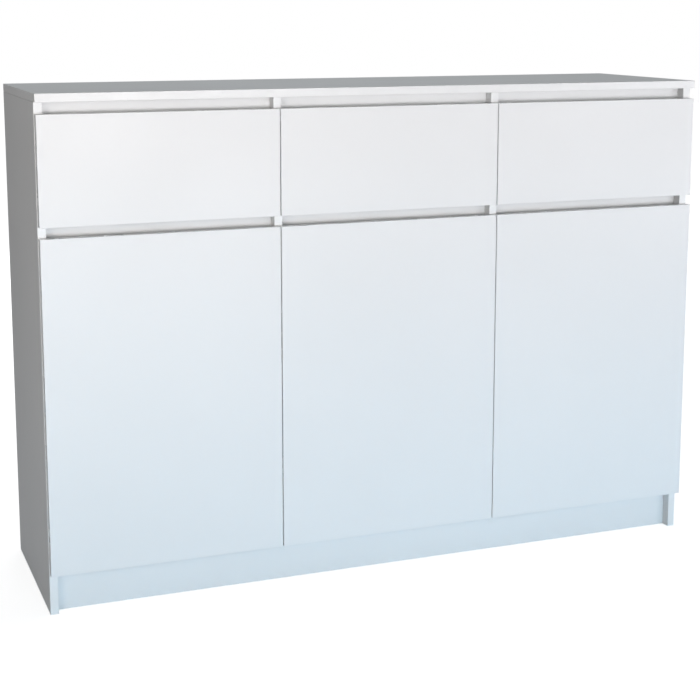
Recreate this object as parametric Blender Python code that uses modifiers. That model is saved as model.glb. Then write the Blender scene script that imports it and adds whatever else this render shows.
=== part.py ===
"""A white sideboard: three drawers over three doors, with recessed finger grips instead of handles.

Metres, +Z up, front facing -Y, origin on the floor under the middle of the cabinet.
Run with: blender --background --python part.py
"""

import math

import bmesh
import bpy
from mathutils import Matrix, Vector

# Driving dimensions
WIDTH = 1.4
DEPTH = 0.4
HEIGHT = 1.0
BOARD = 0.016
HARDBOARD = 0.003
BAYS = 3
JOINT_GAP = 0.0003  # between two pieces that touch

# Fronts, which overlay the carcass
BUMPER_GAP = 0.002  # between the back of a front and the carcass
FRONT_GAP = 0.0020  # between two neighbouring fronts
DRAWER_FRONT_LOW = 0.754
DRAWER_FRONT_HIGH = 0.962
DOOR_LOW = 0.082
DOOR_HIGH = 0.733
EDGE_ROUNDING = 0.0005  # of the plastic edging

# Carcass
TOP_SET_BACK = 0.001
PLINTH_HEIGHT = 0.082
PLINTH_RECESS = 0.020
RAIL_RECESS = 0.021
UPPER_RAIL_HEIGHT = 0.060
LOWER_RAIL_LOW = 0.700
LOWER_RAIL_HIGH = 0.765
BACK_MARGIN = 0.002
SHELF_LOW = 0.392
SHELF_FRONT = -0.150
SHELF_CLEARANCE = 0.001
PIN_DROP = 0.004  # of the pins' middle, below the shelf
PIN_PITCH = 0.032
PIN_ROWS = 5
PIN_COLUMNS = (-0.110, 0.1464)
PIN_BORE_RADIUS = 0.0026
PIN_BORE_DEPTH = 0.0070

# Drawer boxes and their roller slides
SLIDE_SPACE = 0.0127
DRAWER_LOW = 0.776
DRAWER_HIGH = 0.905
DRAWER_LENGTH = 0.350
DRAWER_BOTTOM_RISE = 0.012
GROOVE_DEPTH = 0.008
SLIDE_SHEET = 0.0012
SLIDE_LENGTH = 0.350
SLIDE_SET_BACK = 0.004
SLIDE_LOW = 0.779
SLIDE_HEIGHT = 0.0235
SLIDE_REACH = 0.0105
RUNNER_WEB = 0.0112
RUNNER_FLANGE_INNER = 0.0040
RUNNER_FLANGE_LOW = 0.7975
RUNNER_HOOK = 0.013

# Cup hinges
HINGE_RISES = {"lower": 0.100, "upper": 0.551}  # above the bottom edge of the door
AXIS_INSET = 0.0045  # of the turning axis, from the door's edge and from its front face
CUP_CENTRE = 0.0225
CUP_RADIUS = 0.0175
CUP_DEPTH = 0.012
CUP_WALL = 0.001
CUP_RIM = 0.0185
CUP_SHEET = 0.0012
WING_LENGTH = 0.052
WING_WIDTH = 0.010
ARM_HEIGHT = 0.014
ARM_FRONT = -0.176
ARM_BACK = -0.112
ARM_THICKNESS = 0.008
ARM_RISE = 0.004
PLATE_FRONT = -0.158
PLATE_BACK = -0.122
PLATE_HEIGHT = 0.050
PLATE_THICKNESS = 0.0025
POST_FRONT = -0.162
POST_BACK = -0.118
POST_MARGIN = 0.001

# Places that follow from them
FRONT = -DEPTH / 2
FRONT_BACK = FRONT + BOARD
CARCASS_FRONT = FRONT_BACK + BUMPER_GAP
BACK = DEPTH / 2
BOARD_BACK = BACK - HARDBOARD - JOINT_GAP
SIDE = WIDTH / 2
PANEL_TOP = HEIGHT - BOARD - JOINT_GAP
BOTTOM_LOW = PLINTH_HEIGHT + JOINT_GAP
BOTTOM_HIGH = BOTTOM_LOW + BOARD
BAY_PITCH = WIDTH / BAYS
RAIL_FRONT = CARCASS_FRONT + RAIL_RECESS
BAY_NAMES = ("left", "middle", "right")
UPRIGHTS = ("side_panel_left", "divider_left", "divider_right", "side_panel_right")
HINGE_SIDES = {"left": -1, "middle": -1, "right": 1}

COLOURS = {
    "front_board": ((0.86, 0.88, 0.90), 0.35, 0.0),
    "carcass_board": ((0.82, 0.84, 0.86), 0.45, 0.0),
    "plinth_board": ((0.80, 0.83, 0.86), 0.45, 0.0),
    "drawer_board": ((0.82, 0.83, 0.84), 0.50, 0.0),
    "hardboard": ((0.80, 0.81, 0.82), 0.60, 0.0),
    "slide_steel": ((0.85, 0.85, 0.84), 0.40, 0.0),
    "hinge_steel": ((0.62, 0.61, 0.58), 0.28, 1.0),
}


def clear_scene():
    for obj in list(bpy.data.objects):
        bpy.data.objects.remove(obj, do_unlink=True)


def new_collection(name):
    made = bpy.data.collections.new(name)
    bpy.context.scene.collection.children.link(made)
    return made


def material_for(node, look):
    colour, roughness, metallic = COLOURS[look]
    made = bpy.data.materials.new(node)
    made.use_nodes = True
    made.diffuse_color = (*colour, 1.0)
    shader = made.node_tree.nodes["Principled BSDF"]
    shader.inputs["Base Color"].default_value = (*colour, 1.0)
    shader.inputs["Roughness"].default_value = roughness
    shader.inputs["Metallic"].default_value = metallic
    return made


def place(name, data, centre, look, parent=None):
    """Puts the shape at a world position, under its parent empty if it has one."""
    obj = bpy.data.objects.new(name, data)
    parts.objects.link(obj)
    obj.data.materials.append(material_for(name, look))
    obj.parent = parent
    obj.location = Vector(centre) - (parent.location if parent else Vector())
    return obj


def box_mesh(name, low, high):
    """A box's mesh about its own centre, and that centre."""
    low = Vector(low)
    high = Vector(high)
    mesh = bpy.data.meshes.new(name)
    shape = bmesh.new()
    bmesh.ops.create_cube(shape, size=1.0, matrix=Matrix.Diagonal((*(high - low), 1.0)))
    shape.to_mesh(mesh)
    shape.free()
    return mesh, (low + high) / 2


def add_edge_rounding(obj, segments=1, width=EDGE_ROUNDING):
    bevel = obj.modifiers.new("edge_rounding", "BEVEL")
    bevel.width = width
    bevel.segments = segments
    bevel.limit_method = "ANGLE"


def board(name, low, high, look, parent=None, segments=1):
    mesh, centre = box_mesh(name, low, high)
    obj = place(name, mesh, centre, look, parent)
    add_edge_rounding(obj, segments)
    return obj


def helper(name, mesh, centre):
    """A cutter, or a shape that is joined to another: it isn't a piece of its own."""
    obj = bpy.data.objects.new(name, mesh)
    helpers.objects.link(obj)
    obj.location = centre
    obj.hide_render = True
    obj.display_type = "WIRE"
    return obj


def combine(obj, other, operation):
    boolean = obj.modifiers.new(other.name, "BOOLEAN")
    boolean.operation = operation
    boolean.solver = "EXACT"
    boolean.object = other


def cut_box(obj, name, low, high):
    combine(obj, helper(name, *box_mesh(name, low, high)), "DIFFERENCE")


def join_box(obj, name, low, high):
    combine(obj, helper(name, *box_mesh(name, low, high)), "UNION")


def cut_round(obj, name, centre, radius, depth):
    """Cuts a blind hole of this depth into the back face of a front, at the centre given on that face."""
    mesh = bpy.data.meshes.new(name)
    shape = bmesh.new()
    turn = Matrix.Rotation(math.radians(90), 4, "X")
    bmesh.ops.create_cone(
        shape, cap_ends=True, segments=32, radius1=radius, radius2=radius, depth=2 * depth, matrix=turn
    )
    shape.to_mesh(mesh)
    shape.free()
    combine(obj, helper(name, mesh, centre), "DIFFERENCE")


def joint_empty(name, location):
    empty = bpy.data.objects.new(name, None)
    parts.objects.link(empty)
    empty.location = location
    empty.empty_display_size = 0.03
    return empty


def section(name, outline, low, high, look, parent=None):
    """A constant section, given as (x, z) points, that runs from low to high along Y."""
    curve = bpy.data.curves.new(name, "CURVE")
    curve.dimensions = "2D"
    curve.fill_mode = "BOTH"
    curve.extrude = (high - low) / 2
    middle_x = sum(x for x, _ in outline) / len(outline)
    middle_z = sum(z for _, z in outline) / len(outline)
    spline = curve.splines.new("POLY")
    spline.points.add(len(outline) - 1)
    spline.use_cyclic_u = True
    for point, (x, z) in zip(spline.points, outline):
        point.co = (x - middle_x, z - middle_z, 0.0, 1.0)
    obj = place(name, curve, (middle_x, (low + high) / 2, middle_z), look, parent)
    obj.rotation_euler.x = math.radians(90)
    return obj


def across(wall, inward, outline):
    """Outline points given as (distance from a wall, z), turned into (x, z) points that run one way round."""
    placed = [(wall + inward * out, z) for out, z in outline]
    return placed if inward > 0 else placed[::-1]


def bay_faces(bay):
    """The x of the two faces that look into a bay: of a side panel or a divider."""
    low = -SIDE + BOARD if bay == 0 else -SIDE + bay * BAY_PITCH + BOARD / 2
    high = SIDE - BOARD if bay == BAYS - 1 else -SIDE + (bay + 1) * BAY_PITCH - BOARD / 2
    return low, high


def front_edges(bay):
    """The x of the left and right edges of a bay's door or drawer front."""
    low = -SIDE + bay * BAY_PITCH + FRONT_GAP / 2
    return low, low + BAY_PITCH - FRONT_GAP


def make_carcass():
    inner = SIDE - BOARD - JOINT_GAP
    board("top_panel", (-SIDE, FRONT + TOP_SET_BACK, HEIGHT - BOARD), (SIDE, BOARD_BACK, HEIGHT),
          "carcass_board", segments=2)
    for name, low in (("side_panel_left", -SIDE), ("side_panel_right", SIDE - BOARD)):
        board(name, (low, CARCASS_FRONT, 0), (low + BOARD, BOARD_BACK, PANEL_TOP),
              "carcass_board", segments=2)
    board("bottom_panel", (-inner, CARCASS_FRONT, BOTTOM_LOW), (inner, BOARD_BACK, BOTTOM_HIGH),
          "carcass_board")
    for bay, name in ((1, "divider_left"), (2, "divider_right")):
        middle = -SIDE + bay * BAY_PITCH
        board(name, (middle - BOARD / 2, CARCASS_FRONT, BOTTOM_HIGH + JOINT_GAP),
              (middle + BOARD / 2, BOARD_BACK, PANEL_TOP), "carcass_board")
    plinth_front = CARCASS_FRONT + PLINTH_RECESS
    board("plinth", (-inner, plinth_front, 0), (inner, plinth_front + BOARD, PLINTH_HEIGHT),
          "plinth_board", segments=2)
    board("centre_support", (-BOARD / 2, plinth_front + BOARD + JOINT_GAP, 0),
          (BOARD / 2, BOARD_BACK, PLINTH_HEIGHT), "plinth_board")
    board("back_panel", (-SIDE + BACK_MARGIN, BACK - HARDBOARD, BOTTOM_LOW),
          (SIDE - BACK_MARGIN, BACK, HEIGHT - BACK_MARGIN), "hardboard")


def make_bay_boards(bay, where):
    low, high = bay_faces(bay)
    low += JOINT_GAP
    high -= JOINT_GAP
    board(f"upper_rail_{where}", (low, RAIL_FRONT, PANEL_TOP - UPPER_RAIL_HEIGHT),
          (high, RAIL_FRONT + BOARD, PANEL_TOP), "carcass_board")
    board(f"lower_rail_{where}", (low, RAIL_FRONT, LOWER_RAIL_LOW),
          (high, RAIL_FRONT + BOARD, LOWER_RAIL_HIGH), "carcass_board")
    board(f"shelf_{where}", (low + SHELF_CLEARANCE, SHELF_FRONT, SHELF_LOW),
          (high - SHELF_CLEARANCE, BOARD_BACK - JOINT_GAP, SHELF_LOW + BOARD), "carcass_board")


def cut_pin_bores(bay, where):
    """Rows of blind holes for the shelf pins, in both faces of a bay."""
    turn = Matrix.Rotation(math.radians(90), 4, "Y")
    middle = SHELF_LOW - PIN_DROP
    for wall, upright in zip(bay_faces(bay), UPRIGHTS[bay:]):
        name = f"pin_bores_{where}_{upright}"
        mesh = bpy.data.meshes.new(name)
        shape = bmesh.new()
        for column in PIN_COLUMNS:
            for row in range(PIN_ROWS):
                height = middle + (row - PIN_ROWS // 2) * PIN_PITCH
                bmesh.ops.create_cone(
                    shape, cap_ends=True, segments=12, radius1=PIN_BORE_RADIUS, radius2=PIN_BORE_RADIUS,
                    depth=2 * PIN_BORE_DEPTH, matrix=Matrix.Translation((wall, column, height)) @ turn,
                )
        shape.to_mesh(mesh)
        shape.free()
        combine(parts.objects[upright], helper(name, mesh, (0, 0, 0)), "DIFFERENCE")


def make_slide(bay, where):
    """The fixed channel of each slide, screwed to the faces of the bay."""
    sheet = SLIDE_SHEET
    top = SLIDE_LOW + SLIDE_HEIGHT
    channel = [
        (JOINT_GAP, SLIDE_LOW), (SLIDE_REACH, SLIDE_LOW), (SLIDE_REACH, SLIDE_LOW + sheet),
        (JOINT_GAP + sheet, SLIDE_LOW + sheet), (JOINT_GAP + sheet, top - sheet),
        (SLIDE_REACH, top - sheet), (SLIDE_REACH, top), (JOINT_GAP, top),
    ]
    start = CARCASS_FRONT + SLIDE_SET_BACK
    for side, wall, inward in zip(("left", "right"), bay_faces(bay), (1, -1)):
        section(f"slide_{where}_{side}", across(wall, inward, channel), start, start + SLIDE_LENGTH,
                "slide_steel")


def make_runners(bay, where, parent):
    """The moving half of each slide: a web, a hook under the drawer side and a flange in the channel."""
    sheet = SLIDE_SHEET
    low = DRAWER_LOW - JOINT_GAP - sheet
    flange_high = RUNNER_FLANGE_LOW + sheet
    runner = [
        (RUNNER_WEB, low), (SLIDE_SPACE + RUNNER_HOOK, low), (SLIDE_SPACE + RUNNER_HOOK, low + sheet),
        (RUNNER_WEB + sheet, low + sheet), (RUNNER_WEB + sheet, flange_high),
        (RUNNER_FLANGE_INNER, flange_high), (RUNNER_FLANGE_INNER, RUNNER_FLANGE_LOW),
        (RUNNER_WEB, RUNNER_FLANGE_LOW),
    ]
    start = FRONT_BACK + 2 * JOINT_GAP
    for side, wall, inward in zip(("left", "right"), bay_faces(bay), (1, -1)):
        section(f"runner_{where}_{side}", across(wall, inward, runner), start, start + SLIDE_LENGTH,
                "slide_steel", parent)


def make_drawer(bay, where):
    left, right = front_edges(bay)
    low, high = (face + way * SLIDE_SPACE for face, way in zip(bay_faces(bay), (1, -1)))
    middle = (low + high) / 2
    parent = joint_empty(f"drawer_{where}_slide", (middle, FRONT_BACK, (DRAWER_LOW + DRAWER_HIGH) / 2))
    front = board(f"drawer_front_{where}", (left, FRONT, DRAWER_FRONT_LOW),
                  (right, FRONT_BACK, DRAWER_FRONT_HIGH), "front_board", parent, segments=2)
    start = FRONT_BACK + JOINT_GAP
    end = start + DRAWER_LENGTH
    floor_low = DRAWER_LOW + DRAWER_BOTTOM_RISE
    floor_high = floor_low + HARDBOARD
    inner_low = low + BOARD
    inner_high = high - BOARD
    groove = GROOVE_DEPTH + JOINT_GAP
    groove_low = (inner_low - groove, FRONT_BACK - groove, floor_low - JOINT_GAP)
    groove_high = (inner_high + groove, end + BOARD, floor_high + JOINT_GAP)
    for side, x in (("left", low), ("right", high - BOARD)):
        wall = board(f"drawer_side_{where}_{side}", (x, start, DRAWER_LOW), (x + BOARD, end, DRAWER_HIGH),
                     "drawer_board", parent)
        cut_box(wall, f"groove_{where}_{side}", groove_low, groove_high)
    cut_box(front, f"groove_{where}_front", groove_low, groove_high)
    board(f"drawer_back_{where}", (inner_low + JOINT_GAP, end - BOARD, floor_high + 2 * JOINT_GAP),
          (inner_high - JOINT_GAP, end, DRAWER_HIGH), "drawer_board", parent)
    floor, centre = box_mesh(
        f"drawer_bottom_{where}",
        (inner_low - GROOVE_DEPTH, FRONT_BACK - GROOVE_DEPTH, floor_low),
        (inner_high + GROOVE_DEPTH, end, floor_high),
    )
    place(f"drawer_bottom_{where}", floor, centre, "hardboard", parent)
    make_runners(bay, where, parent)


def cup_mesh(name):
    """The profile of a hinge cup, from its inner floor over the rim to its outer floor, for a Screw about Z."""
    inner = CUP_RADIUS - CUP_WALL
    rim_low = JOINT_GAP
    rim_high = JOINT_GAP + CUP_SHEET
    floor = -CUP_DEPTH
    profile = [
        (0, floor + CUP_WALL), (inner, floor + CUP_WALL), (inner, rim_high), (CUP_RIM, rim_high),
        (CUP_RIM, rim_low), (CUP_RADIUS, rim_low), (CUP_RADIUS, floor), (0, floor),
    ]
    mesh = bpy.data.meshes.new(name)
    shape = bmesh.new()
    points = [shape.verts.new((x, 0, z)) for x, z in profile]
    for first, second in zip(points, points[1:]):
        shape.edges.new((first, second))
    shape.to_mesh(mesh)
    shape.free()
    return mesh


def make_cup(name, centre, free_way, parent):
    """A turned cup in its bore in the door, with two screw wings on the door's back face."""
    cup = place(name, cup_mesh(name), centre, "hinge_steel", parent)
    cup.rotation_euler.x = math.radians(-90)
    screw = cup.modifiers.new("turn", "SCREW")
    screw.axis = "Z"
    screw.steps = 32
    screw.render_steps = 32
    screw.use_merge_vertices = True
    screw.merge_threshold = 0.00001
    reach = sorted((centre.x, centre.x + free_way * WING_WIDTH))
    rim_low = centre.y + JOINT_GAP
    for level, way in (("lower", -1), ("upper", 1)):
        ends = sorted((centre.z + way * (CUP_RADIUS - CUP_WALL / 2), centre.z + way * WING_LENGTH / 2))
        join_box(cup, f"{name}_{level}_wing",
                 (reach[0], rim_low, ends[0]), (reach[1], rim_low + CUP_SHEET, ends[1]))


def make_hinge_arm(name, wall, inward, height):
    """The arm and its mounting plate, on the face of a side panel or divider."""
    def span(first, last):
        return sorted((wall + inward * first, wall + inward * last))

    plate_x = span(JOINT_GAP, JOINT_GAP + PLATE_THICKNESS)
    post_x = span(JOINT_GAP, ARM_RISE + ARM_THICKNESS / 2)
    post_half = ARM_HEIGHT / 2 - POST_MARGIN
    arm_x = span(ARM_RISE, ARM_RISE + ARM_THICKNESS)
    half = ARM_HEIGHT / 2
    arm = board(name, (arm_x[0], ARM_FRONT, height - half), (arm_x[1], ARM_BACK, height + half), "hinge_steel")
    join_box(arm, f"{name}_post", (post_x[0], POST_FRONT, height - post_half),
             (post_x[1], POST_BACK, height + post_half))
    join_box(arm, f"{name}_plate", (plate_x[0], PLATE_FRONT, height - PLATE_HEIGHT / 2),
             (plate_x[1], PLATE_BACK, height + PLATE_HEIGHT / 2))


def make_door(bay, where):
    left, right = front_edges(bay)
    side = HINGE_SIDES[where]
    edge = left if side < 0 else right
    wall = bay_faces(bay)[0 if side < 0 else 1]
    axis = (edge - side * AXIS_INSET, FRONT + AXIS_INSET, (DOOR_LOW + DOOR_HIGH) / 2)
    parent = joint_empty(f"door_{where}_hinge", axis)
    door = board(f"door_{where}", (left, FRONT, DOOR_LOW), (right, FRONT_BACK, DOOR_HIGH),
                 "front_board", parent, segments=2)
    for level, rise in HINGE_RISES.items():
        name = f"{where}_{level}"
        centre = Vector((edge - side * CUP_CENTRE, FRONT_BACK, DOOR_LOW + rise))
        cut_round(door, f"cup_bore_{name}", centre, CUP_RADIUS + JOINT_GAP, CUP_DEPTH + JOINT_GAP)
        make_cup(f"hinge_cup_{name}", centre, -side, parent)
        make_hinge_arm(f"hinge_arm_{name}", wall, -side, DOOR_LOW + rise)


clear_scene()
parts = new_collection("sideboard")
helpers = new_collection("helpers")
make_carcass()
for number, bay_name in enumerate(BAY_NAMES):
    make_bay_boards(number, bay_name)
    cut_pin_bores(number, bay_name)
    make_slide(number, bay_name)
    make_drawer(number, bay_name)
    make_door(number, bay_name)
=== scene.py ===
"""The looks of a white sideboard with three drawers over three doors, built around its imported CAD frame."""

import math
import random

import bmesh
import bpy
from mathutils import Matrix, Vector


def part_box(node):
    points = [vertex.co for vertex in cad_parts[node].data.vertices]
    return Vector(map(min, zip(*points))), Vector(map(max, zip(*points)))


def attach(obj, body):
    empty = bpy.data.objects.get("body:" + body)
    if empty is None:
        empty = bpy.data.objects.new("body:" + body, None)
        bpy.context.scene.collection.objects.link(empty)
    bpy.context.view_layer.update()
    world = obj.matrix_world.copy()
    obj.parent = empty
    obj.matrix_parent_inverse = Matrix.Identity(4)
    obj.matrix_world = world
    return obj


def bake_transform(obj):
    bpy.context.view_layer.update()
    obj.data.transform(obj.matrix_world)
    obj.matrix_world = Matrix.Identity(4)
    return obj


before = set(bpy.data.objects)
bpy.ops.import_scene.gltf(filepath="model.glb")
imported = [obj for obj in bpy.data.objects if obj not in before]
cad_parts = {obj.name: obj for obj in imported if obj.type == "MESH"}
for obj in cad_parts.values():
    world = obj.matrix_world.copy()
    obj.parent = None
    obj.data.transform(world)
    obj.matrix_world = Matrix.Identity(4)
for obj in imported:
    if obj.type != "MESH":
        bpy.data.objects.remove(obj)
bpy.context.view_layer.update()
scene = bpy.context.scene

SHARP = math.radians(35)  # the angle from which an edge stays sharp

BAYS = ("left", "middle", "right")
LEVELS = ("lower", "upper")
SIDES = ("left", "right")

# Lengths are in metres. A screw's head is (radius, rise).
SEAT = 0.00005  # between a small piece and the face that it sits on

# Roller slides
SLIDE_SHEET = 0.0012
SLIDE_SCREW = (0.0031, 0.0016)
SLIDE_SCREW_SHARES = (0.10, 0.42, 0.86)  # of the channel's length
ROLLER_RADIUS = 0.0084
ROLLER_WIDTH = 0.0055
ROLLER_PLAY = 0.0002  # between the roller and the channel's floor
ROLLER_OUT = 0.0064  # from the wall to the middle of the roller
ROLLER_FRONT = 0.010  # from the front end of the channel to the roller's axle
ROLLER_BACK = 0.012  # from the back end of the runner to the roller's axle

# Caps of the cam fittings
CAP_RADIUS = 0.0085
DRAWER_CAP_BACK = 0.034  # from the front end of the drawer's side
DRAWER_CAP_RISES = (0.036, 0.100)
DIVIDER_CAP_BACKS = (0.060, 0.300)
DIVIDER_CAP_RISE = 0.034

# Shelf pins
PIN_FRONT = 0.040  # from the shelf's front edge
PIN_BACK = 0.050  # from its back edge
PIN_TOP_PLAY = 0.0001  # under the shelf
PIN_DROP = 0.0040  # from the top of the pin's tongue to its middle
SHELF_PLAY = 0.0013  # from the shelf's end to the pin's collar
TONGUE_REACH = (0.0012, 0.0105)  # from the wall
TONGUE_HALF_WIDTH = 0.0042
TONGUE_THICKNESS = 0.0016
WEB_HALF_WIDTH = 0.0009
WEB_LOW = 0.0060  # from the top of the tongue down to the web's lower edge
WEB_HIGH = 0.0012  # from there down to its upper edge, inside the tongue
WEB_SHORT = 0.002  # by which the web ends before the tongue, on the left

# Nails of the back
NAIL_RADIUS = 0.0032
NAIL_RISE = 0.0003
NAIL_SEAT = 0.00003
NAIL_SLIP = 0.003  # how far a nail stands from its even place
NAILS_ALONG = 12
NAILS_UP = 7

# Bumpers
BUMPER_RADIUS = 0.0027
BUMPER_PLAY = 0.0002  # between the bumper and the carcass
BUMPER_INSET = 0.0034  # from the front's edge
BUMPER_DROP = 0.025  # from the top and bottom edges of a drawer front
DOOR_BUMPER_DROP = 0.030
LOW_BUMPER_RADIUS = 0.0042
LOW_BUMPER_INSET = 0.026

# Cup hinges
ARM_SCREW = (0.0036, 0.0014)
ARM_SCREW_FRONT = 0.024  # from the front end of the arm
ARM_SCREW_BACK = 0.014  # from its back end
PLATE_SCREW = (0.0033, 0.0016)
PLATE_SCREW_Y = -0.140
PLATE_SCREW_INSET = 0.009  # from the top and bottom of the mounting plate
PLATE_THICKNESS = 0.0025
CUP_MIDDLE = 0.0185  # from the low X side of the cup's flange
CUP_SCREW = (0.0032, 0.0010)
CUP_SCREW_INSET = 0.0042  # from the ends of the flange
CUP_SCREW_OUT = 0.0050  # from the cup's middle, away from the door's edge
LINK_SHIFT = 0.001  # from the cup's middle, towards the door's edge
LINK_OVERLAP = 0.004  # of the links with the arm, and above the floor of the cup
LINKS = ((0.0, 0.0052), (0.0052, 0.0046))  # each link's distance from the first, and half its height
LINK_HALF_THICKNESS = 0.0008
LINK_WAIST = 0.18  # by which a link is lower halfway
LINK_STEPS = 14


# Materials ---------------------------------------------------------------------------------------


class Nodes:
    """A material's node tree, with short ways to add and link nodes."""

    def __init__(self, name):
        self.material = bpy.data.materials.new(name)
        self.material.use_nodes = True
        self.tree = self.material.node_tree
        self.shader = self.tree.nodes["Principled BSDF"]

    def add(self, kind, **settings):
        node = self.tree.nodes.new(f"ShaderNode{kind}")
        for key, value in settings.items():
            setattr(node, key, value)
        return node

    def link(self, source, target):
        self.tree.links.new(source, target)

    def math(self, operation, *values):
        node = self.add("Math", operation=operation)
        for socket, value in zip(node.inputs, values):
            if isinstance(value, (int, float)):
                socket.default_value = value
            else:
                self.link(value, socket)
        return node.outputs[0]

    def place(self):
        return self.add("TexCoord").outputs["Object"]

    def noise(self, scale, detail=3.0, stretch=(1, 1, 1), roughness=0.5):
        """Noise of about one feature in 1/scale metres, stretched along the axes given."""
        mapping = self.add("Mapping")
        mapping.inputs["Scale"].default_value = stretch
        self.link(self.place(), mapping.inputs["Vector"])
        noise = self.add("TexNoise")
        noise.inputs["Scale"].default_value = scale
        noise.inputs["Detail"].default_value = detail
        noise.inputs["Roughness"].default_value = roughness
        self.link(mapping.outputs[0], noise.inputs["Vector"])
        return noise.outputs["Fac"]

    def between(self, value, low, high, from_low=0.3, from_high=0.7):
        node = self.add("MapRange")
        node.inputs["From Min"].default_value = from_low
        node.inputs["From Max"].default_value = from_high
        node.inputs["To Min"].default_value = low
        node.inputs["To Max"].default_value = high
        self.link(value, node.inputs["Value"])
        return node.outputs[0]

    def mix(self, factor, first, second):
        """A mix of two colours, each an RGB triple or a socket."""
        node = self.add("Mix", data_type="RGBA")
        self.link(factor, node.inputs["Factor"])
        for socket, value in ((node.inputs["A"], first), (node.inputs["B"], second)):
            if isinstance(value, (tuple, list)):
                socket.default_value = (*value, 1.0)
            else:
                self.link(value, socket)
        return node.outputs["Result"]

    def bump(self, height, distance, strength):
        node = self.add("Bump")
        node.inputs["Distance"].default_value = distance
        node.inputs["Strength"].default_value = strength
        self.link(height, node.inputs["Height"])
        return node.outputs["Normal"]

    def face_share(self, axis):
        """How squarely the surface faces along an axis of the object: 0 to 1."""
        split = self.add("SeparateXYZ")
        self.link(self.add("TexCoord").outputs["Normal"], split.inputs[0])
        return self.math("ABSOLUTE", split.outputs["XYZ".index(axis)])

    def finish(self, colour, roughness, normal=None, **constants):
        for value, name in ((colour, "Base Color"), (roughness, "Roughness"), (normal, "Normal")):
            socket = self.shader.inputs[name]
            if value is None:
                continue
            if isinstance(value, (tuple, list)):
                socket.default_value = (*value, 1.0)
            elif isinstance(value, (int, float)):
                socket.default_value = value
            else:
                self.link(value, socket)
        for name, value in constants.items():
            self.shader.inputs[name.replace("_", " ")].default_value = value
        return self.material


def tinted(colour, share):
    return tuple(min(1.0, channel * share) for channel in colour)


def melamine(name, thickness_axis, colour, gloss):
    """White melamine-faced board with fine orange peel, smoother edging, and a thin line between them."""
    nodes = Nodes(name)
    squareness = nodes.face_share(thickness_axis)
    is_face = nodes.between(squareness, 0.0, 1.0, 0.90, 0.96)
    is_edging = nodes.between(squareness, 1.0, 0.0, 0.30, 0.42)
    cloud = nodes.between(nodes.noise(2.3, 4.0), 0.0, 1.0)
    face = nodes.mix(cloud, tinted(colour, 0.985), tinted(colour, 1.01))
    edge_cloud = nodes.between(nodes.noise(38, 3.0), 0.0, 1.0)
    edging = nodes.mix(edge_cloud, tinted(colour, 1.04), tinted(colour, 1.065))
    joint = tinted(colour, 0.93)
    base = nodes.mix(is_face, nodes.mix(is_edging, joint, edging), face)
    smear = nodes.between(nodes.noise(6.0, 5.0, roughness=0.6), gloss - 0.035, gloss + 0.045)
    edge_gloss = nodes.math("SUBTRACT", smear, nodes.math("MULTIPLY", is_edging, 0.08))
    peel = nodes.noise(620, 2.0)
    grain = nodes.noise(150, 2.0)
    height = nodes.math("ADD", nodes.math("MULTIPLY", peel, 0.7), nodes.math("MULTIPLY", grain, 0.3))
    height = nodes.math("MULTIPLY", height, nodes.between(squareness, 0.25, 1.0, 0.3, 0.95))
    return nodes.finish(base, edge_gloss, nodes.bump(height, 0.00004, 0.6), Specular_IOR_Level=0.45)


def foiled_board(name, thickness_axis):
    """Matt white foil with a faint grain over the faces of a drawer board, a little lighter on its edges."""
    nodes = Nodes(name)
    squareness = nodes.face_share(thickness_axis)
    grain = nodes.noise(55, 4.0, stretch=(1, 0.08, 1))
    foil = nodes.mix(nodes.between(grain, 0, 1), (0.80, 0.805, 0.81), (0.835, 0.84, 0.845))
    colour = nodes.mix(nodes.between(squareness, 0, 1, 0.35, 0.9), (0.84, 0.845, 0.85), foil)
    ribs = nodes.math("MULTIPLY", grain, 0.6)
    height = nodes.math("ADD", ribs, nodes.math("MULTIPLY", nodes.noise(480, 2.0), 0.4))
    gloss = nodes.between(nodes.noise(9.0, 4.0), 0.46, 0.56)
    return nodes.finish(colour, gloss, nodes.bump(height, 0.00005, 0.6))


def hardboard(name, painted_way):
    """Thin hardboard: white lacquer on one side, brown pressed fibre on the other and along its edges.

    painted_way is the axis, and its sign, that the painted face looks along, such as -Y.
    """
    nodes = Nodes(name)
    split = nodes.add("SeparateXYZ")
    nodes.link(nodes.add("TexCoord").outputs["Normal"], split.inputs[0])
    sign = -1.0 if painted_way[0] == "-" else 1.0
    towards = nodes.math("MULTIPLY", split.outputs["XYZ".index(painted_way[1])], sign)
    painted = nodes.between(towards, 0, 1, 0.4, 0.6)
    fibre = nodes.noise(330, 5.0, roughness=0.7)
    blotch = nodes.noise(14, 4.0)
    brown = nodes.mix(nodes.between(fibre, 0, 1), (0.235, 0.150, 0.083), (0.385, 0.268, 0.165))
    brown = nodes.mix(nodes.between(blotch, 0.0, 0.45), brown, (0.42, 0.31, 0.20))
    white = nodes.mix(nodes.between(nodes.noise(4.0, 3.0), 0, 1), (0.79, 0.80, 0.805), (0.82, 0.83, 0.835))
    colour = nodes.mix(painted, brown, white)
    gloss = nodes.between(painted, 0.74, 0.42, 0, 1)
    gloss = nodes.math("ADD", gloss, nodes.between(blotch, -0.03, 0.03))
    height = nodes.math("ADD", fibre, nodes.math("MULTIPLY", nodes.noise(700, 2.0), 0.5))
    return nodes.finish(colour, gloss, nodes.bump(height, 0.00006, 0.7))


def coated_steel(name):
    """White epoxy powder coat on sheet steel: a slightly wavy, satin skin."""
    nodes = Nodes(name)
    skin = nodes.noise(260, 3.0)
    tone = nodes.mix(nodes.between(nodes.noise(20, 3.0), 0, 1), (0.78, 0.78, 0.765), (0.82, 0.82, 0.81))
    gloss = nodes.between(nodes.noise(35, 4.0, stretch=(1, 0.1, 1)), 0.32, 0.46)
    return nodes.finish(tone, gloss, nodes.bump(skin, 0.00005, 0.5), Coat_Weight=0.15, Coat_Roughness=0.25)


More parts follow.
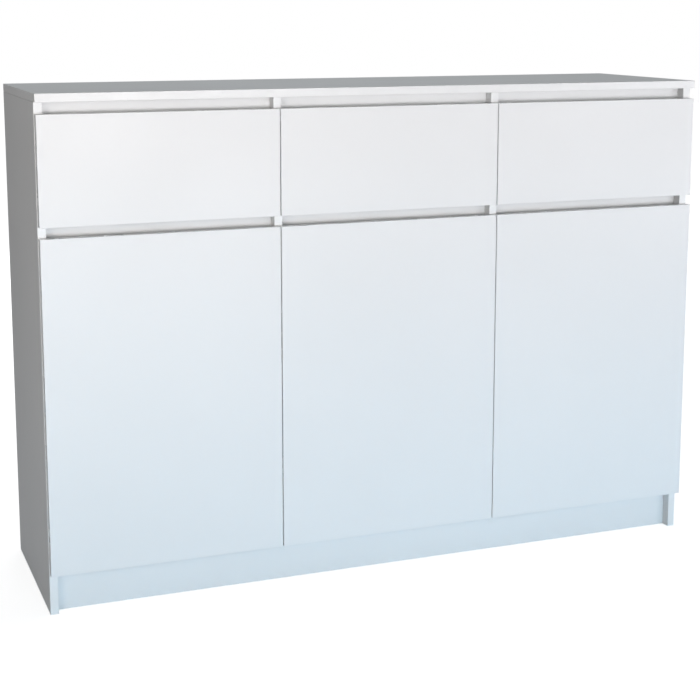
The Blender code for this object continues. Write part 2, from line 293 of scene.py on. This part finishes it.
def plated_steel(name, colour, low, high):
    """Plated steel with faint rolling marks and finger-dulled patches."""
    nodes = Nodes(name)
    marks = nodes.noise(420, 3.0, stretch=(1, 1, 0.08))
    patches = nodes.between(nodes.noise(85, 4.0), low, high)
    tone = nodes.mix(nodes.between(marks, 0, 1), tinted(colour, 0.90), tinted(colour, 1.06))
    return nodes.finish(tone, patches, nodes.bump(marks, 0.00002, 0.5), Metallic=1.0)


def moulded(name, colour, gloss, translucent=0.0):
    """Moulded plastic with a fine spark-eroded texture."""
    nodes = Nodes(name)
    tone = nodes.mix(nodes.between(nodes.noise(60, 3.0), 0, 1), tinted(colour, 0.97), tinted(colour, 1.03))
    rough = nodes.between(nodes.noise(140, 3.0), gloss - 0.04, gloss + 0.05)
    normal = nodes.bump(nodes.noise(1500, 2.0), 0.00002, 0.5)
    return nodes.finish(tone, rough, normal, Subsurface_Weight=translucent, Subsurface_Scale=0.002)


WHITE_FRONT = (0.865, 0.875, 0.885)
WHITE_CARCASS = (0.835, 0.845, 0.850)
WHITE_PLINTH = (0.830, 0.845, 0.855)

looks = {
    "front": melamine("front_melamine", "Y", WHITE_FRONT, 0.34),
    "upright": melamine("upright_melamine", "X", WHITE_CARCASS, 0.38),
    "flat": melamine("flat_melamine", "Z", WHITE_CARCASS, 0.38),
    "rail": melamine("rail_melamine", "Y", WHITE_CARCASS, 0.38),
    "plinth": melamine("plinth_melamine", "Y", WHITE_PLINTH, 0.38),
    "support": melamine("support_melamine", "X", WHITE_PLINTH, 0.38),
    "drawer_side": foiled_board("drawer_side_foil", "X"),
    "drawer_back": foiled_board("drawer_back_foil", "Y"),
    "back": hardboard("back_hardboard", "-Y"),
    "drawer_floor": hardboard("drawer_floor_hardboard", "+Z"),
    "coated": coated_steel("coated_steel"),
    "nickel": plated_steel("nickel_plate", (0.66, 0.645, 0.615), 0.20, 0.34),
    "zinc": plated_steel("zinc_plate", (0.62, 0.63, 0.64), 0.26, 0.42),
    "nylon": moulded("natural_nylon", (0.80, 0.80, 0.77), 0.42, 0.25),
    "cap": moulded("white_cap", (0.82, 0.825, 0.83), 0.40),
    "silicone": moulded("clear_silicone", (0.72, 0.74, 0.75), 0.22, 0.5),
}

NODE_LOOKS = (
    ("drawer_front", "front"), ("drawer_side", "drawer_side"), ("drawer_back", "drawer_back"),
    ("drawer_bottom", "drawer_floor"), ("door", "front"), ("side_panel", "upright"), ("divider", "upright"),
    ("top_panel", "flat"), ("bottom_panel", "flat"), ("shelf", "flat"), ("upper_rail", "rail"),
    ("lower_rail", "rail"), ("plinth", "plinth"), ("centre_support", "support"), ("back_panel", "back"),
    ("slide", "coated"), ("runner", "coated"), ("hinge", "nickel"),
)


def dress_nodes():
    """Gives each CAD node the look that its name starts with in NODE_LOOKS."""
    for name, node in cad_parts.items():
        look = next(look for start, look in NODE_LOOKS if name.startswith(start))
        node.data.materials.clear()
        node.data.materials.append(looks[look])
        if name.startswith("hinge_cup"):
            node.data.shade_smooth()
            node.data.set_sharp_from_angle(angle=SHARP)


# Shapes ------------------------------------------------------------------------------------------


def circle(shape, radius, height, segments, matrix=Matrix()):
    """Adds a ring of points about Z, or a single point for one segment at radius 0."""
    points = []
    for step in range(segments):
        angle = 2 * math.pi * step / segments
        point = Vector((radius * math.cos(angle), radius * math.sin(angle), height))
        points.append(shape.verts.new(matrix @ point))
    return points


def join_rings(shape, rings):
    """Adds the faces between neighbouring rings of points. A ring of one point closes an end."""
    for low, high in zip(rings, rings[1:]):
        count = max(len(low), len(high))
        for step in range(count):
            after = (step + 1) % count
            if len(low) == 1:
                shape.faces.new((low[0], high[after], high[step]))
            elif len(high) == 1:
                shape.faces.new((low[step], low[after], high[0]))
            else:
                shape.faces.new((low[step], low[after], high[after], high[step]))


def turned(shape, profile, matrix, segments=28):
    """Adds a solid turned about Z. Its profile of (radius, height) runs from the bottom to the top."""
    rings = []
    for radius, height in profile:
        rings.append(circle(shape, radius, height, segments if radius else 1, matrix))
    join_rings(shape, rings)


def rounded_box(shape, low, high, radius, segments=2):
    """Adds a box with rounded edges."""
    low = Vector(low)
    high = Vector(high)
    matrix = Matrix.Translation((low + high) / 2) @ Matrix.Diagonal((*(high - low), 1.0))
    made = bmesh.ops.create_cube(shape, size=1.0, matrix=matrix)
    edges = list(dict.fromkeys(edge for vert in made["verts"] for edge in vert.link_edges))
    bmesh.ops.bevel(shape, geom=edges, offset=radius, segments=segments, affect="EDGES", profile=0.5)


def cross_head(shape, matrix, head):
    """Adds a screw's pan head with a cross recess, standing on the plane z = 0 of the matrix."""
    radius, rise = head
    segments = 24
    recess = bmesh.new()
    half = radius * 0.13
    reach = radius * 0.56
    outline = []
    for turn in range(4):
        spin = Matrix.Rotation(turn * math.pi / 2, 4, "Z")
        for x, y in ((half, -half), (reach, -half), (reach, half)):
            outline.append(recess.verts.new(spin @ Vector((x, y, rise))))
    floor = [recess.verts.new((vert.co.x * 0.55, vert.co.y * 0.55, rise * 0.25)) for vert in outline]
    join_rings(recess, (outline, floor))
    recess.faces.new(floor)
    rings = []
    for share, height in ((0.94, 0.0), (1.0, 0.22), (0.97, 0.55), (0.84, 0.86), (0.66, 1.0)):
        rings.append(circle(recess, share * radius, height * rise, segments))
    join_rings(recess, rings)
    recess.faces.new(rings[0][::-1])
    edges = [recess.edges.get((ring[step], ring[(step + 1) % len(ring)]))
             for ring in (rings[-1], outline) for step in range(len(ring))]
    bmesh.ops.triangle_fill(recess, use_beauty=True, edges=edges)
    bmesh.ops.recalc_face_normals(recess, faces=recess.faces)
    holder = bpy.data.meshes.new("head")
    recess.to_mesh(holder)
    recess.free()
    holder.transform(matrix)
    shape.from_mesh(holder)
    bpy.data.meshes.remove(holder)


def facing(point, direction):
    """A matrix that puts the origin at a point and turns +Z to a direction."""
    turn = Vector(direction).to_track_quat("Z", "Y").to_matrix().to_4x4()
    return Matrix.Translation(point) @ turn


def piece(name, shape, look, body):
    """Makes the finished piece from its mesh, shades it and makes it ride on its body."""
    bmesh.ops.recalc_face_normals(shape, faces=shape.faces)
    mesh = bpy.data.meshes.new(name)
    shape.to_mesh(mesh)
    shape.free()
    mesh.shade_smooth()
    mesh.set_sharp_from_angle(angle=SHARP)
    mesh.materials.append(looks[look])
    obj = bpy.data.objects.new(name, mesh)
    scene.collection.objects.link(obj)
    if body:
        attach(obj, body)
    return obj


# Hardware ----------------------------------------------------------------------------------------


def inward(side):
    """The way along X from the wall on this side of a bay into the bay."""
    return 1 if side == "left" else -1


def hinge_way(bay):
    """The way along X from the edge that the bay's door hangs on into the bay."""
    return -1 if bay == "right" else 1


def roller(name, centre, way, body):
    """A nylon wheel on a riveted axle, lying along X."""
    shape = bmesh.new()
    half = ROLLER_WIDTH / 2
    radius = ROLLER_RADIUS
    profile = (
        (0, -half - 0.0006), (0.0016, -half - 0.0006), (0.0022, -half - 0.0002), (0.0034, -half - 0.0002),
        (0.0038, -half + 0.0006), (radius - 0.0018, -half + 0.0006), (radius - 0.0014, -half),
        (radius - 0.0005, -half), (radius, -half + 0.0005), (radius, half - 0.0005), (radius - 0.0005, half),
        (radius - 0.0014, half), (radius - 0.0018, half - 0.0006), (0.0038, half - 0.0006),
        (0.0034, half + 0.0002), (0.0022, half + 0.0002), (0.0016, half + 0.0007), (0, half + 0.0007),
    )
    turned(shape, profile, facing(centre, (way, 0, 0)))
    piece(name, shape, "nylon", body)


def make_slide_hardware(bay, side):
    """A roller at the channel's front and one at the runner's back, and the screws of the channel."""
    way = inward(side)
    low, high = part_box(f"slide_{bay}_{side}")
    wall = low.x if way > 0 else high.x
    middle = (low.z + high.z) / 2
    rail_floor = low.z + SLIDE_SHEET
    wheel_z = rail_floor + ROLLER_RADIUS + ROLLER_PLAY
    wheel_x = wall + way * ROLLER_OUT
    roller(f"slide_roller_{bay}_{side}", (wheel_x, low.y + ROLLER_FRONT, wheel_z), way, "carcass")
    shape = bmesh.new()
    for share in SLIDE_SCREW_SHARES:
        spot = (wall + way * SLIDE_SHEET, low.y + share * (high.y - low.y), middle)
        cross_head(shape, facing(spot, (way, 0, 0)), SLIDE_SCREW)
    piece(f"slide_screws_{bay}_{side}", shape, "zinc", "carcass")
    runner_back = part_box(f"runner_{bay}_{side}")[1].y
    centre = (wheel_x, runner_back - ROLLER_BACK, wheel_z)
    roller(f"runner_roller_{bay}_{side}", centre, way, f"drawer_{bay}")


def cam_cap(shape, spot, way):
    """Adds a flat round cap with a small dimple, on a face that looks along X."""
    profile = ((0, SEAT), (CAP_RADIUS, SEAT), (CAP_RADIUS, 0.0004), (CAP_RADIUS - 0.0005, 0.0008),
               (0.0026, 0.0010), (0.0020, 0.0006), (0, 0.0006))
    turned(shape, profile, facing(spot, (way, 0, 0)))


def make_drawer_caps(bay):
    """Caps over the cam fittings that hold the drawer front, on the inner faces of the sides."""
    shape = bmesh.new()
    for side in SIDES:
        way = inward(side)
        low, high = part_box(f"drawer_side_{bay}_{side}")
        face = high.x if way > 0 else low.x
        for rise in DRAWER_CAP_RISES:
            cam_cap(shape, (face, low.y + DRAWER_CAP_BACK, low.z + rise), way)
    piece(f"drawer_caps_{bay}", shape, "cap", f"drawer_{bay}")


def make_divider_caps(name):
    """Caps over the cam fittings that join a divider to the bottom panel, on both its faces."""
    shape = bmesh.new()
    low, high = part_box(name)
    for way, face in ((-1, low.x), (1, high.x)):
        for back in DIVIDER_CAP_BACKS:
            cam_cap(shape, (face, low.y + back, low.z + DIVIDER_CAP_RISE), way)
    piece(f"cam_caps_{name}", shape, "cap", "carcass")


def make_shelf_pins(bay):
    """Four plated pins in the bay's faces, each with a flat tongue under the shelf."""
    low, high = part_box(f"shelf_{bay}")
    collar = ((0, SEAT), (0.0036, SEAT), (0.0038, 0.0004), (0.0038, 0.0012), (0.0034, 0.0016),
              (0.0024, 0.0017), (0, 0.0017))
    shape = bmesh.new()
    top = low.z - PIN_TOP_PLAY
    for way, edge in ((1, low.x), (-1, high.x)):
        wall = edge - way * SHELF_PLAY
        start, end = sorted(wall + way * reach for reach in TONGUE_REACH)
        web_end = end - WEB_SHORT if way > 0 else end
        for y in (low.y + PIN_FRONT, high.y - PIN_BACK):
            turned(shape, collar, facing((wall, y, top - PIN_DROP), (way, 0, 0)), 20)
            rounded_box(shape, (start, y - TONGUE_HALF_WIDTH, top - TONGUE_THICKNESS),
                        (end, y + TONGUE_HALF_WIDTH, top), 0.0005)
            rounded_box(shape, (start, y - WEB_HALF_WIDTH, top - WEB_LOW),
                        (web_end, y + WEB_HALF_WIDTH, top - WEB_HIGH), 0.0003)
    piece(f"shelf_pins_{bay}", shape, "zinc", "carcass")


def make_back_nails():
    """Flat-headed nails through the hardboard back, into the back edges of the boards in front of it."""
    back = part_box("back_panel")[1].y
    spots = []
    for name in ("top_panel", "bottom_panel"):
        low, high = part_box(name)
        for step in range(NAILS_ALONG):
            share = (step + 0.5) / NAILS_ALONG
            spots.append((low.x + share * (high.x - low.x), (low.z + high.z) / 2))
    bottom, top = spots[-1][1], spots[0][1]
    for name in ("side_panel_left", "divider_left", "divider_right", "side_panel_right"):
        low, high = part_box(name)
        for step in range(1, NAILS_UP):
            spots.append(((low.x + high.x) / 2, bottom + (top - bottom) * step / NAILS_UP))
    profile = ((0, NAIL_SEAT), (NAIL_RADIUS, NAIL_SEAT), (NAIL_RADIUS, NAIL_RISE * 0.5),
               (NAIL_RADIUS * 0.85, NAIL_RISE), (0, NAIL_RISE))
    hand = random.Random(5)
    shape = bmesh.new()
    for x, z in spots:
        slip = (hand.uniform(-NAIL_SLIP, NAIL_SLIP), hand.uniform(-NAIL_SLIP, NAIL_SLIP) / 2)
        turned(shape, profile, facing((x + slip[0], back, z + slip[1]), (0, 1, 0)), 16)
    piece("back_nails", shape, "zinc", "carcass")


def bumper_dome(shape, spot, radius, rise):
    """Adds a low dome on the back of a front."""
    profile = ((0, SEAT), (radius, SEAT), (radius, rise * 0.35), (radius * 0.9, rise * 0.65),
               (radius * 0.65, rise * 0.88), (radius * 0.35, rise * 0.97), (0, rise))
    turned(shape, profile, facing(spot, (0, 1, 0)), 20)


def make_bumpers(bay):
    """Soft stops on the backs of the door and the drawer front, where they meet the carcass."""
    low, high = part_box(f"door_{bay}")
    way = hinge_way(bay)
    free_edge = high.x if way > 0 else low.x
    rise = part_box("divider_left")[0].y - high.y - BUMPER_PLAY
    panel_low, panel_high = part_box("bottom_panel")
    shape = bmesh.new()
    spot = (free_edge - way * LOW_BUMPER_INSET, high.y, (panel_low.z + panel_high.z) / 2)
    bumper_dome(shape, spot, LOW_BUMPER_RADIUS, rise)
    spot = (free_edge - way * BUMPER_INSET, high.y, high.z - DOOR_BUMPER_DROP)
    bumper_dome(shape, spot, BUMPER_RADIUS, rise)
    piece(f"door_bumpers_{bay}", shape, "silicone", f"door_body_{bay}")
    low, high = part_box(f"drawer_front_{bay}")
    shape = bmesh.new()
    for x in (low.x + BUMPER_INSET, high.x - BUMPER_INSET):
        for z in (low.z + BUMPER_DROP, high.z - BUMPER_DROP):
            bumper_dome(shape, (x, high.y, z), BUMPER_RADIUS, rise)
    piece(f"drawer_bumpers_{bay}", shape, "silicone", f"drawer_{bay}")


def make_hinge_hardware(bay, level):
    """The screws of one cup hinge, and the links from its arm into the cup."""
    cup_low, cup_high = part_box(f"hinge_cup_{bay}_{level}")
    arm_low, arm_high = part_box(f"hinge_arm_{bay}_{level}")
    way = hinge_way(bay)
    wall, arm_top = (arm_high.x, arm_low.x) if way < 0 else (arm_low.x, arm_high.x)
    middle = (arm_low.z + arm_high.z) / 2
    shape = bmesh.new()
    for y in (arm_high.y - ARM_SCREW_BACK, arm_low.y + ARM_SCREW_FRONT):
        cross_head(shape, facing((arm_top, y, middle), (way, 0, 0)), ARM_SCREW)
    for z in (arm_low.z + PLATE_SCREW_INSET, arm_high.z - PLATE_SCREW_INSET):
        spot = (wall + way * PLATE_THICKNESS, PLATE_SCREW_Y, z)
        cross_head(shape, facing(spot, (way, 0, 0)), PLATE_SCREW)
    piece(f"arm_screws_{bay}_{level}", shape, "zinc", "carcass")
    cup_x = cup_low.x + CUP_MIDDLE
    shape = bmesh.new()
    for z in (cup_low.z + CUP_SCREW_INSET, cup_high.z - CUP_SCREW_INSET):
        spot = (cup_x + way * CUP_SCREW_OUT, cup_high.y, z)
        cross_head(shape, facing(spot, (0, 1, 0)), CUP_SCREW)
    piece(f"cup_screws_{bay}_{level}", shape, "zinc", f"door_body_{bay}")
    link_x = cup_x - way * LINK_SHIFT
    start = Vector((link_x, arm_low.y + LINK_OVERLAP, middle))
    end = Vector((link_x, cup_low.y + LINK_OVERLAP, middle))
    make_links(bay, level, start, end)


def make_links(bay, level, start, end):
    """Two flat links from the arm into the cup."""
    way = hinge_way(bay)
    shape = bmesh.new()
    for offset, half_height in LINKS:
        rings = []
        for step in range(LINK_STEPS + 1):
            share = step / LINK_STEPS
            centre = start.lerp(end, share)
            taper = 1.0 - LINK_WAIST * math.sin(math.pi * share)
            ring = []
            for dx, dz in ((-1, -1), (1, -1), (1, 1), (-1, 1)):
                x = centre.x + way * offset + dx * LINK_HALF_THICKNESS
                ring.append(shape.verts.new((x, centre.y, centre.z + dz * half_height * taper)))
            rings.append(ring)
        join_rings(shape, rings)
        shape.faces.new(rings[0][::-1])
        shape.faces.new(rings[-1])
    links = piece(f"hinge_links_{bay}_{level}", shape, "nickel", None)
    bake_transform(links)


def make_hardware():
    for bay in BAYS:
        for side in SIDES:
            make_slide_hardware(bay, side)
        make_drawer_caps(bay)
        make_shelf_pins(bay)
        make_bumpers(bay)
        for level in LEVELS:
            make_hinge_hardware(bay, level)
    for name in ("divider_left", "divider_right"):
        make_divider_caps(name)
    make_back_nails()


# Studio ------------------------------------------------------------------------------------------

FLOOR_RADIUS = 16
FLOOR_DROP = 0.0005  # under the feet
FLOOR_GLOW = (0.62, 0.86)  # near the object, and further out
FLOOR_GLOW_REACH = (0.9, 2.6)  # from the middle, where the first ends and the second begins
AMBIENT = 0.204  # strength of the world's light on the object

# The camera looks along +Y, turned to the right by LOOK_RIGHT and down by LOOK_DOWN, in degrees.
EYE = (-1.1253, -2.8989, 1.1497)
LOOK_DOWN = 9.326
LOOK_RIGHT = 20.986
LENS = 75.89
SENSOR = 36
SHIFT = -0.14


def make_floor():
    """A pale floor that glows for the camera alone, so that it looks white but still shows soft shadows."""
    shape = bmesh.new()
    bmesh.ops.create_circle(shape, cap_ends=True, segments=96, radius=FLOOR_RADIUS)
    mesh = bpy.data.meshes.new("floor")
    shape.to_mesh(mesh)
    shape.free()
    floor = bpy.data.objects.new("floor", mesh)
    floor.location.z = -FLOOR_DROP
    scene.collection.objects.link(floor)
    nodes = Nodes("studio_floor")
    mottle = nodes.between(nodes.noise(0.8, 3.0), 0, 1)
    bounced = nodes.mix(mottle, (0.44, 0.46, 0.48), (0.46, 0.48, 0.50))
    seen = nodes.add("LightPath").outputs["Is Camera Ray"]
    reach = nodes.add("VectorMath", operation="LENGTH")
    nodes.link(nodes.place(), reach.inputs[0])
    glow = nodes.between(reach.outputs["Value"], *FLOOR_GLOW, *FLOOR_GLOW_REACH)
    nodes.link(nodes.math("MULTIPLY", seen, glow), nodes.shader.inputs["Emission Strength"])
    nodes.finish(nodes.mix(seen, bounced, (0.92, 0.92, 0.92)), 0.7,
                 Specular_IOR_Level=0.2, Emission_Color=(1.0, 1.0, 1.0, 1.0))
    mesh.materials.append(nodes.material)


def make_world():
    """A white backdrop for the camera, and a weaker even light for everything else."""
    world = bpy.data.worlds.new("studio")
    scene.world = world
    world.use_nodes = True
    tree = world.node_tree
    backdrop = tree.nodes["Background"]
    backdrop.inputs["Color"].default_value = (1.0, 1.0, 1.0, 1.0)
    backdrop.inputs["Strength"].default_value = 1.0
    ambient = tree.nodes.new("ShaderNodeBackground")
    ambient.inputs["Color"].default_value = (1.0, 1.0, 1.0, 1.0)
    ambient.inputs["Strength"].default_value = AMBIENT
    seen = tree.nodes.new("ShaderNodeLightPath").outputs["Is Camera Ray"]
    pick = tree.nodes.new("ShaderNodeMixShader")
    tree.links.new(seen, pick.inputs[0])
    tree.links.new(ambient.outputs[0], pick.inputs[1])
    tree.links.new(backdrop.outputs[0], pick.inputs[2])
    tree.links.new(pick.outputs[0], tree.nodes["World Output"].inputs["Surface"])


SOFTBOXES = (
    # Name, place, point that it faces, width, height, spread in degrees, power in watts, colour
    ("key", (0.1, -4.4, 0.70), (0.0, 0.0, 1.18), 3.8, 0.9, 50, 11.2, (1.0, 0.98, 0.983)),
    ("low_front", (0.1, -3.2, 0.20), (0.0, 0.0, -0.12), 4.4, 0.3, 42, 4.9, (0.38, 0.75, 1.0)),
    ("overhead", (0.0, 0.3, 3.2), (0.0, 0.1, 1.00), 2.6, 1.6, 110, 9.1, (0.90, 0.96, 1.0)),
    ("left_front", (-2.3, -2.4, 1.10), (-0.7, -0.25, 0.75), 1.2, 1.0, 70, 4.1, (1.0, 0.93, 0.88)),
    ("right_front", (2.3, -2.4, 0.80), (0.7, -0.25, 0.60), 1.2, 1.0, 70, 2.8, (0.96, 0.96, 1.0)),
    ("back_fill", (1.5, 4.2, 0.42), (0.1, 0.2, 0.45), 2.8, 0.8, 120, 36, (1.0, 1.0, 1.0)),
    ("right_fill", (4.4, -0.4, 0.42), (0.7, 0.0, 0.45), 2.4, 0.8, 120, 10, (1.0, 1.0, 1.0)),
)


def make_lights():
    """Soft rectangular lamps that the camera doesn't see."""
    for name, place, target, width, height, spread, power, colour in SOFTBOXES:
        data = bpy.data.lights.new(name, "AREA")
        data.shape = "RECTANGLE"
        data.size = width
        data.size_y = height
        data.spread = math.radians(spread)
        data.energy = power
        data.color = colour
        lamp = bpy.data.objects.new(name, data)
        lamp.location = place
        lamp.rotation_mode = "QUATERNION"
        lamp.rotation_quaternion = (Vector(target) - Vector(place)).to_track_quat("-Z", "Y")
        lamp.visible_camera = False
        scene.collection.objects.link(lamp)


def make_camera():
    """Seen from the left of the middle, with the eye just above the top panel."""
    data = bpy.data.cameras.new("camera")
    data.sensor_width = SENSOR
    data.lens = LENS
    data.shift_y = SHIFT
    camera = bpy.data.objects.new("camera", data)
    camera.location = EYE
    camera.rotation_euler = (math.radians(90 - LOOK_DOWN), 0, math.radians(-LOOK_RIGHT))
    scene.collection.objects.link(camera)
    scene.camera = camera


make_camera()
make_world()
make_lights()
make_floor()
dress_nodes()
make_hardware()
scene.view_settings.view_transform = "Standard"
